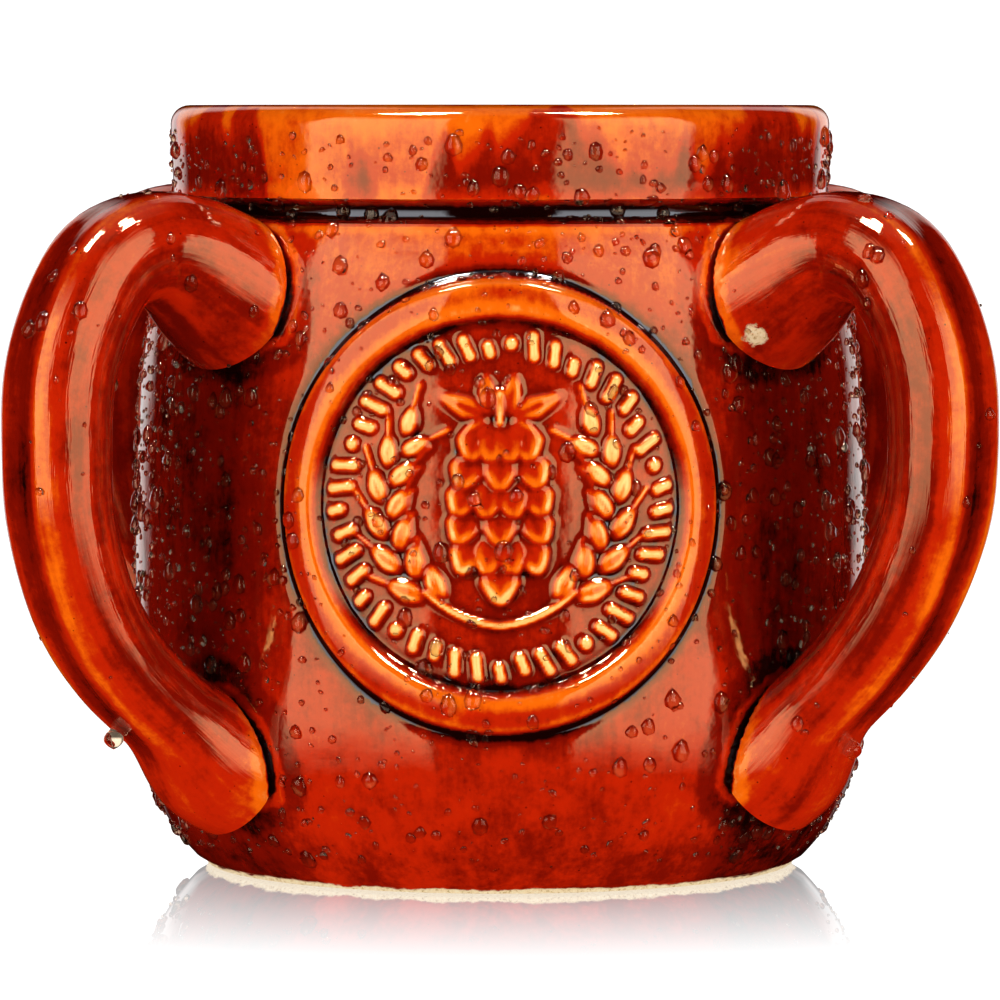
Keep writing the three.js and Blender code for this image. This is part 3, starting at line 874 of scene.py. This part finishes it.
# Small drops are many and large ones few.
chance = maths("POWER", chance, 2.4)
width = ranged(chance, 0.0, 1.0, given["Smallest"], given["Largest"])
longer = ranged(chance, 0.0, 1.0, 0.9, given["Longest"])
size = add("CombineXYZ", {0: width, 1: maths("MULTIPLY", width, longer), 2: width}).outputs[0]
drops = step("GeometryNodeInstanceOnPoints", {"Points": scatter.outputs["Points"], "Instance": drop,
                                              "Rotation": hung, "Scale": size}).outputs[0]
drops = step("GeometryNodeRealizeInstances", {"Geometry": drops}).outputs[0]
uneven = add("TexNoise", {"Scale": 520.0, "Detail": 1.0}).outputs["Color"]
uneven = add("VectorMath", {0: uneven, 1: (0.5, 0.5, 0.5)}, operation="SUBTRACT").outputs[0]
uneven = add("VectorMath", {0: uneven, "Scale": unevenness}, operation="SCALE").outputs[0]
drops = step("GeometryNodeSetPosition", {"Geometry": drops, "Offset": uneven}).outputs[0]
drops = step("GeometryNodeSetMaterial", {"Geometry": drops, "Material": given["Water"]}).outputs[0]
tree.links.new(drops, step("NodeGroupOutput").inputs[0])

for dew, sizes in dews.items():
    wet = bpy.data.objects.new(dew, fired)
    bpy.context.collection.objects.link(wet)
    beading = wet.modifiers.new("beading", "NODES")
    beading.node_group = tree
    for name, value in {**sizes, "Where": dew, "Water": water}.items():
        beading[dew_sockets[name]] = value
    bpy.context.view_layer.update()
    beads = bpy.data.meshes.new_from_object(wet.evaluated_get(bpy.context.evaluated_depsgraph_get()))
    wet.modifiers.clear()
    beads.name = dew
    wet.data = beads
    beads.materials.clear()
    beads.materials.append(water)
    beads.polygons.foreach_set("material_index", [0] * len(beads.polygons))
    beads.shade_smooth()
    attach(wet, "root")
for dew in dews:
    fired.attributes.remove(fired.attributes[dew])

# Two full drops hang where the water ran together under the front handles.
hanging_places = ((-62.4, -50.3, 28.5), (58.4, -49.0, 24.5))
hanging_width = 3.2
hanging_length = 3.9
hanging_hold = 0.7
hanging_sides = 20
hanging_rings = 14
hanging_points = []
hanging_faces = []
for target in hanging_places:
    nearest = fired_points[np.argmin(np.linalg.norm(fired_points - target, axis=1))]
    first = len(hanging_points)
    for i in range(hanging_rings + 1):
        down = i / hanging_rings
        girth = 0.5 * hanging_width * math.sin(math.pi * down ** 1.25) ** 0.85 + 0.05
        for k in range(hanging_sides):
            a = 2 * math.pi * k / hanging_sides
            level = nearest[2] + hanging_hold - hanging_length * down
            hanging_points.append((nearest[0] + girth * math.cos(a), nearest[1] + girth * math.sin(a), level))
    for i in range(hanging_rings):
        for k in range(hanging_sides):
            right = (k + 1) % hanging_sides
            upper, lower = first + i * hanging_sides, first + (i + 1) * hanging_sides
            hanging_faces.append((upper + k, lower + k, lower + right, upper + right))
    hanging_faces.append(tuple(range(first, first + hanging_sides)))
    last = first + hanging_rings * hanging_sides
    hanging_faces.append(tuple(range(last, last + hanging_sides))[::-1])
hanging_mesh = bpy.data.meshes.new("hanging_drops")
hanging_mesh.from_pydata((np.array(hanging_points) * MM).tolist(), [], hanging_faces)
hanging_mesh.materials.append(water)
hanging_mesh.shade_smooth()
hanging_drops = bpy.data.objects.new("hanging_drops", hanging_mesh)
bpy.context.collection.objects.link(hanging_drops)
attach(hanging_drops, "root")

# The floor
# A pale glossy sheet that mirrors the foot of the mug.
floor_level = -0.0003
floor_corners = [(x, y, floor_level) for x, y in ((-6, -6), (6, -6), (6, 9), (-6, 9))]
floor_mesh = bpy.data.meshes.new("floor")
floor_mesh.from_pydata(floor_corners, [], [(0, 1, 2, 3)])
floor = bpy.data.objects.new("floor", floor_mesh)
bpy.context.collection.objects.link(floor)
floor_sheet = bpy.data.materials.new("floor_sheet")
floor_sheet.use_nodes = True
tree = floor_sheet.node_tree
tree.nodes.clear()
mirror = add("BsdfGlossy", {"Color": (1, 1, 1, 1), "Roughness": 0.0})
pale = add("Emission", {"Color": (1, 1, 1, 1), "Strength": 1.0})
from_foot = add("VectorMath", {0: add("TexCoord").outputs["Object"]}, operation="LENGTH").outputs["Value"]
sheen = ranged(from_foot, 0.05, 0.15, 0.7, 0.0)
mixed = add("MixShader", {"Fac": sheen, 1: pale.outputs[0], 2: mirror.outputs[0]})
tree.links.new(mixed.outputs[0], add("OutputMaterial").inputs["Surface"])
floor_mesh.materials.append(floor_sheet)
floor.visible_diffuse = False
floor.visible_glossy = False
floor.visible_transmission = False
floor.visible_shadow = False
floor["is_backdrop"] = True

# The light
# Two tall soft boxes at the front corners, each under a small bright one, a pale table under the mug
# and a white wall far behind. The boxes mirror in the glaze as part of the room.
bright_from, bright_to = 21, 71
box_side = 47
distance = 1.5
mug_middle = 0.065
for side in (-1, 1):
    for low, high, wide, strength in ((-22, 36, 1.46, 1.5), (40, 60, 0.7, 5.0)):
        box_azimuth = math.radians(side * box_side)
        bottom, top = (distance * math.tan(math.radians(e)) for e in (low, high))
        tilt = math.radians((low + high) / 2) if low > 0 else 0.0
        size = (wide, (top - bottom) * math.cos(tilt))
        lamp = bpy.data.lights.new("soft_box", "AREA")
        lamp.shape = "RECTANGLE"
        lamp.size, lamp.size_y = size
        lamp.energy = strength * math.pi * size[0] * size[1]
        soft_box = bpy.data.objects.new("soft_box", lamp)
        middle = mug_middle + (bottom + top) / 2
        soft_box.location = distance * math.sin(box_azimuth), -distance * math.cos(box_azimuth), middle
        soft_box.rotation_euler = (math.radians(90) - tilt, 0, box_azimuth)
        soft_box.visible_camera = False
        soft_box.visible_glossy = False
        bpy.context.collection.objects.link(soft_box)

room = bpy.data.worlds.new("room")
bpy.context.scene.world = room
room.use_nodes = True
tree = room.node_tree
tree.nodes.clear()
toward = add("SeparateXYZ", {0: add("TexCoord").outputs["Generated"]}).outputs
frontward = maths("MULTIPLY", toward["Y"], -1.0)
sideways = maths("DEGREES", maths("ARCTAN2", maths("ABSOLUTE", toward["X"]), frontward))
upward = maths("DEGREES", maths("ARCSINE", toward["Z"]))


def between(value, low, high, soft=1.5):
    """One inside a span of degrees and nought outside it, with soft edges."""
    rises = ranged(value, low - soft, low + soft)
    falls = ranged(value, high + soft, high - soft)
    return maths("MULTIPLY", rises, falls)


tall_box = maths("MULTIPLY", between(sideways, bright_from, bright_to), between(upward, -16, 40, 7.0))
glow_up = ranged(upward, -20.0, 5.0, 2.4, 4.2)
small_box = maths("MULTIPLY", between(sideways, 42, 76, 0.6), between(upward, 62, 77, 0.6))
mirrored = maths("ADD", maths("MULTIPLY", tall_box, glow_up), maths("MULTIPLY", small_box, 110.0))
far_height = between(upward, -9, 60, 4.0)
far_wall = maths("MULTIPLY", between(sideways, 146, 200, 6.0), far_height)
far_edge = maths("MULTIPLY", between(sideways, 147, 168, 4.0), far_height)
mirrored = maths("ADD", mirrored, far_edge)
mirrored = maths("ADD", mirrored, maths("MULTIPLY", between(upward, 62, 100, 8.0), 0.5))
table = ranged(upward, -3.0, -20.0, 0.05, 0.85)
ray = add("LightPath").outputs
through_drops = maths("ADD", 0.15, far_wall)
strength = add("Mix", {"Factor": ray["Is Glossy Ray"], 2: table, 3: mirrored}).outputs[0]
strength = add("Mix", {"Factor": ray["Is Transmission Ray"], 2: strength, 3: through_drops}).outputs[0]
seen_plain = maths("MAXIMUM", ray["Is Camera Ray"], ray["Is Singular Ray"])
strength = add("Mix", {"Factor": seen_plain, 2: strength, 3: 1.0}).outputs[0]
glow = add("Background", {"Color": (1, 1, 1, 1), "Strength": strength})
tree.links.new(glow.outputs[0], add("OutputWorld").inputs["Surface"])

# The camera
# A long lens in front of the mug at the height of its rim, looking slightly down.
lens = bpy.data.cameras.new("camera")
lens.lens = 240.1
lens.sensor_width = 36
camera = bpy.data.objects.new("camera", lens)
camera.location = (0, -1.137, 0.131)
camera.rotation_euler = (math.radians(90 - 3.49), 0, 0)
bpy.context.collection.objects.link(camera)
bpy.context.scene.camera = camera
bpy.context.scene.view_settings.view_transform = "Standard"
bpy.context.scene.view_settings.look = "Medium High Contrast"

low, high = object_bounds()
